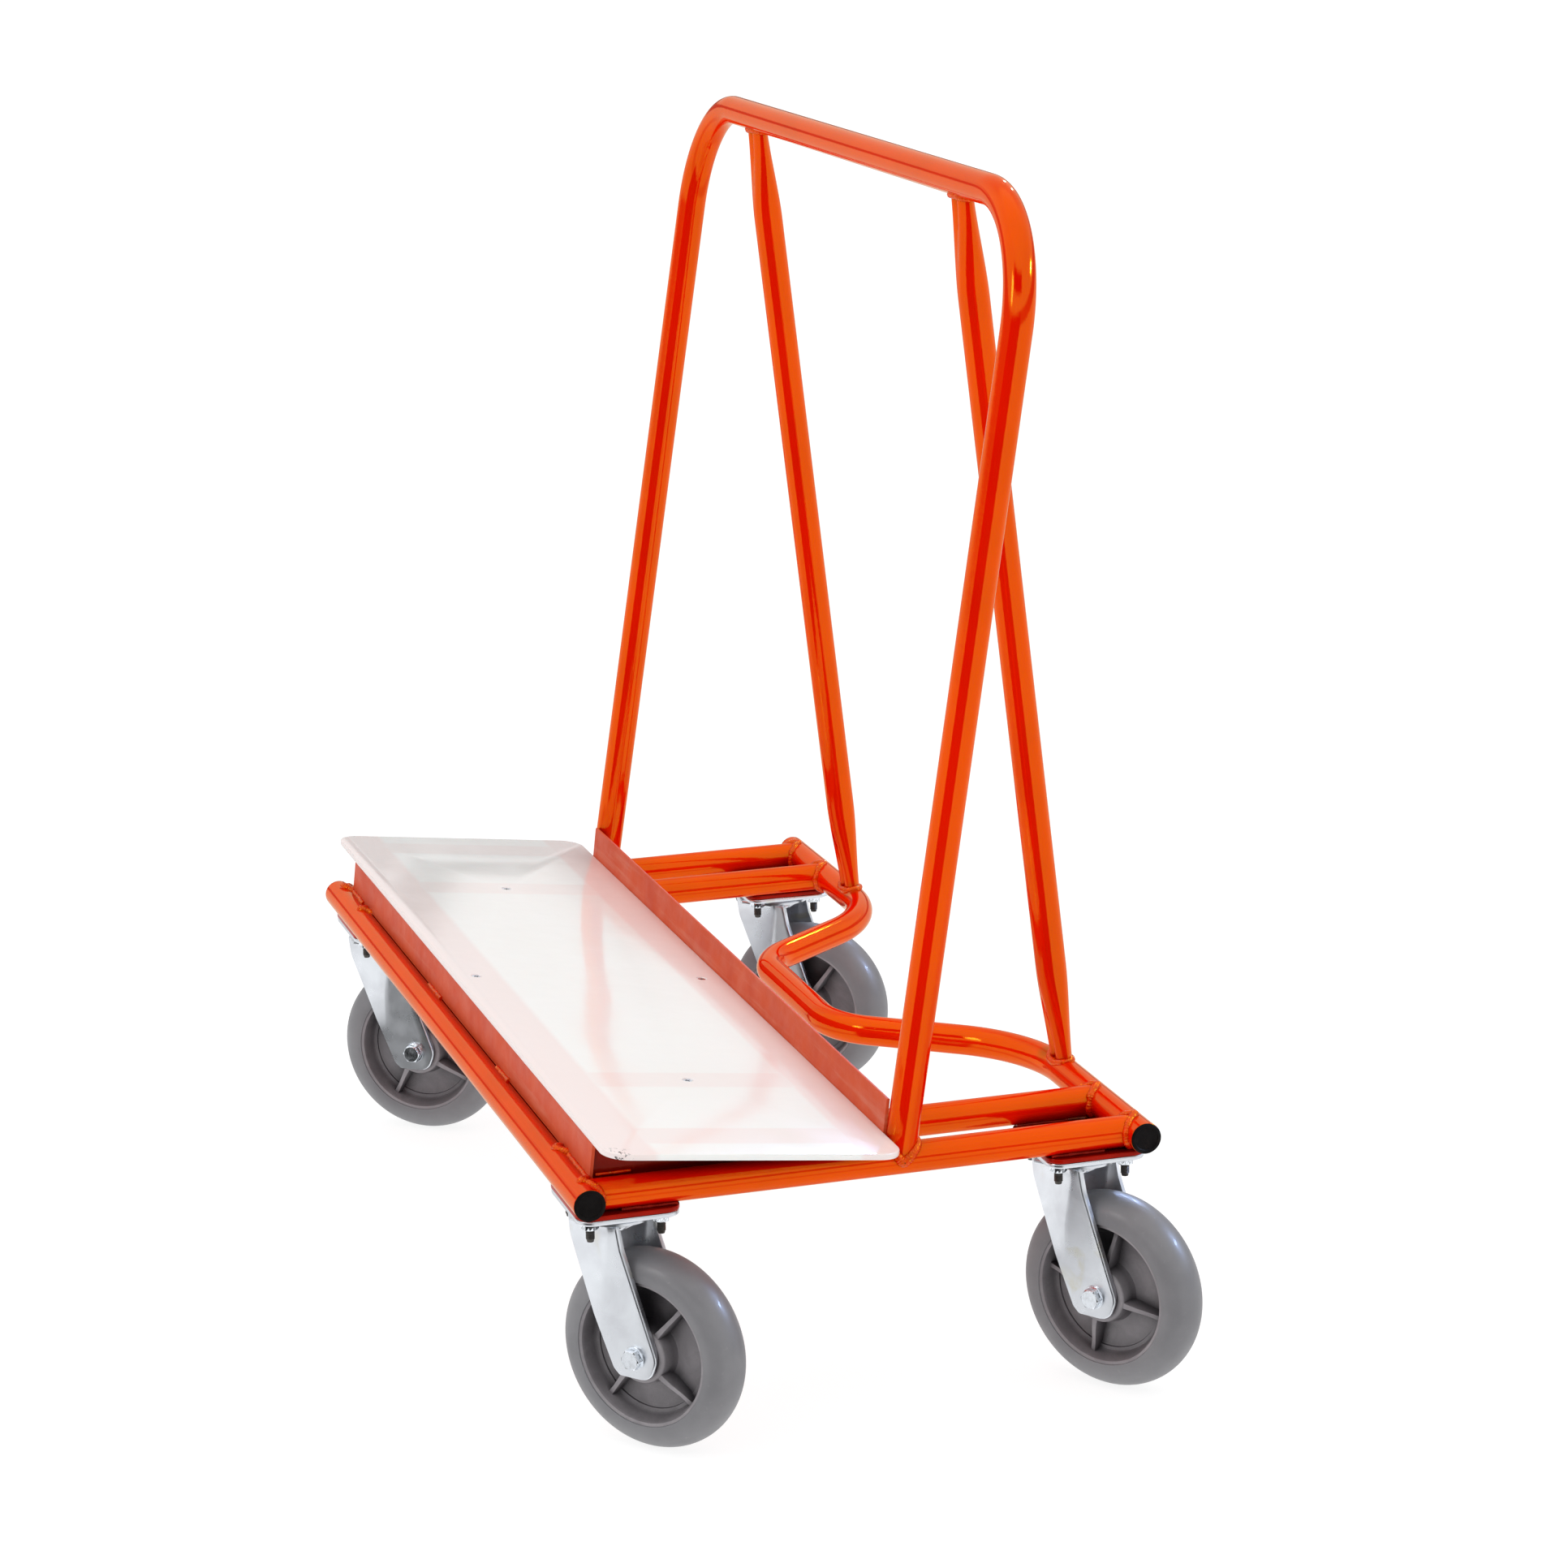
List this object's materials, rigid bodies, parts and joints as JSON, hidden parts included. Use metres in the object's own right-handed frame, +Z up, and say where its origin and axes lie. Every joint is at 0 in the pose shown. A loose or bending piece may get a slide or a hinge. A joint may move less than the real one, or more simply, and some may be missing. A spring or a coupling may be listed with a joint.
{
  "type": "panel cart",
  "caption": "Rigid cart for sheets and panels: a welded tube base with a sloping plastic deck, a leaning hoop to push by and swivel casters.",
  "frame": {"origin": "on the floor, under the middle of the whole cart's bounding box at rest", "axes": "+X along the cart, to the right of someone who faces its front; +Y from the front, where panels are loaded, to the rear, where the hoop and the foot recess are; +Z up"},
  "size_m": [1.2358, 0.6547, 1.2081],
  "materials": {
    "tube_paint": "glossy orange powder coat on steel",
    "angle_paint": "flat orange coat on steel angle",
    "sheet": "smooth white polyethylene",
    "zinc": "zinc-plated pressed steel",
    "steel": "plated steel fasteners and bearings",
    "screw": "plated countersunk screws",
    "tyre": "satin grey moulded rubber",
    "hub": "matt dark grey ribbed nylon",
    "cap": "black plug"
  },
  "bodies": {
    "frame": {"front_rail": "tube_paint", "rear_rail": "tube_paint", "hoop_handle": "tube_paint", "cross_rail_right_outer": "tube_paint", "cross_rail_right_inner": "tube_paint", "cross_rail_left_outer": "tube_paint", "cross_rail_left_inner": "tube_paint", "rear_strut_right": "tube_paint", "rear_strut_left": "tube_paint", "mounting_plate_front_right": "tube_paint", "mounting_plate_rear_right": "tube_paint", "mounting_plate_front_left": "tube_paint", "mounting_plate_rear_left": "tube_paint", "front_angle": "angle_paint", "rear_angle": "angle_paint", "deck_bearer_right": "angle_paint", "deck_bearer_left": "angle_paint", "end_plate_right": "angle_paint", "end_plate_left": "angle_paint", "deck_sheet": "sheet", "deck_screw_right": "screw", "deck_screw_left": "screw", "deck_screw_front": "screw", "deck_screw_rear": "screw", "end_cap_front_right": "cap", "end_cap_front_left": "cap", "end_cap_rear_right": "cap", "end_cap_rear_left": "cap", "top_plate_front_right": "zinc", "kingpin_front_right": "steel", "top_plate_rear_right": "zinc", "kingpin_rear_right": "steel", "top_plate_front_left": "zinc", "kingpin_front_left": "steel", "top_plate_rear_left": "zinc", "kingpin_rear_left": "steel"},
    "swivel_front_right": {"fork_front_right": "zinc", "axle_bolt_front_right": "steel", "axle_nut_front_right": "steel", "axle_sleeve_front_right": "steel"},
    "wheel_front_right": {"tyre_front_right": "tyre", "hub_front_right": "hub"},
    "swivel_rear_right": {"fork_rear_right": "zinc", "axle_bolt_rear_right": "steel", "axle_nut_rear_right": "steel", "axle_sleeve_rear_right": "steel"},
    "wheel_rear_right": {"tyre_rear_right": "tyre", "hub_rear_right": "hub"},
    "swivel_front_left": {"fork_front_left": "zinc", "axle_bolt_front_left": "steel", "axle_nut_front_left": "steel", "axle_sleeve_front_left": "steel"},
    "wheel_front_left": {"tyre_front_left": "tyre", "hub_front_left": "hub"},
    "swivel_rear_left": {"fork_rear_left": "zinc", "axle_bolt_rear_left": "steel", "axle_nut_rear_left": "steel", "axle_sleeve_rear_left": "steel"},
    "wheel_rear_left": {"tyre_rear_left": "tyre", "hub_rear_left": "hub"}
  },
  "joints": [
    {"name": "swivel_front_right", "type": "hinge", "parent": "frame", "child": "swivel_front_right", "pos_m": [0.4937, -0.26749, 0.2], "axis": [0, 0, 1], "continuous": true},
    {"name": "spin_front_right", "type": "hinge", "parent": "swivel_front_right", "child": "wheel_front_right", "pos_m": [0.52728, -0.24, 0.1016], "axis": [-0.6334, 0.7738, 0], "continuous": true},
    {"name": "swivel_rear_right", "type": "hinge", "parent": "frame", "child": "swivel_rear_right", "pos_m": [0.4937, 0.21351, 0.2], "axis": [0, 0, 1], "continuous": true},
    {"name": "spin_rear_right", "type": "hinge", "parent": "swivel_rear_right", "child": "wheel_rear_right", "pos_m": [0.52955, 0.23797, 0.1016], "axis": [-0.5635, 0.8261, 0], "continuous": true},
    {"name": "swivel_front_left", "type": "hinge", "parent": "frame", "child": "swivel_front_left", "pos_m": [-0.5103, -0.26749, 0.2], "axis": [0, 0, 1], "continuous": true},
    {"name": "spin_front_left", "type": "hinge", "parent": "swivel_front_left", "child": "wheel_front_left", "pos_m": [-0.4837, -0.2332, 0.1016], "axis": [-0.7902, 0.6129, 0], "continuous": true},
    {"name": "swivel_rear_left", "type": "hinge", "parent": "frame", "child": "swivel_rear_left", "pos_m": [-0.5103, 0.21351, 0.2], "axis": [0, 0, 1], "continuous": true},
    {"name": "spin_rear_left", "type": "hinge", "parent": "swivel_rear_left", "child": "wheel_rear_left", "pos_m": [-0.48109, 0.24561, 0.1016], "axis": [-0.7396, 0.673, 0], "continuous": true}
  ]
}
